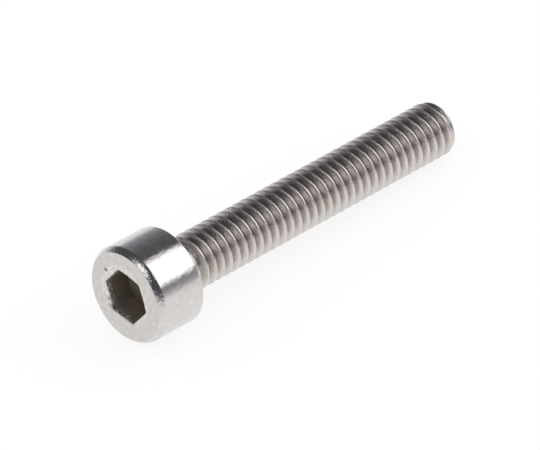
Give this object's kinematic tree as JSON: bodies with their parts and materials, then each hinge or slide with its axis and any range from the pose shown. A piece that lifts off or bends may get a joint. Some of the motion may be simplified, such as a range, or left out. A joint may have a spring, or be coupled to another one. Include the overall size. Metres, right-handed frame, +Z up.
{
  "type": "hex socket cap screw",
  "caption": "Small hex socket cap screw: a smooth round head with a hexagonal drive socket, and a shank threaded along its whole length to a chamfered point.",
  "frame": {"origin": "middle of the box around the screw as it lies, at the height of the surface it rests on", "axes": "+Z up; +X level, from the head towards the point; the screw's axis leans 3.4 degrees down from +X towards -Z, because the head is wider than the thread"},
  "size_m": [0.0186, 0.0044, 0.0045],
  "materials": {
    "stainless_steel": "plain stainless steel, turned bright on the head and satin on the rolled thread"
  },
  "bodies": {
    "root": {"cap_screw": "stainless_steel"}
  },
  "joints": []
}
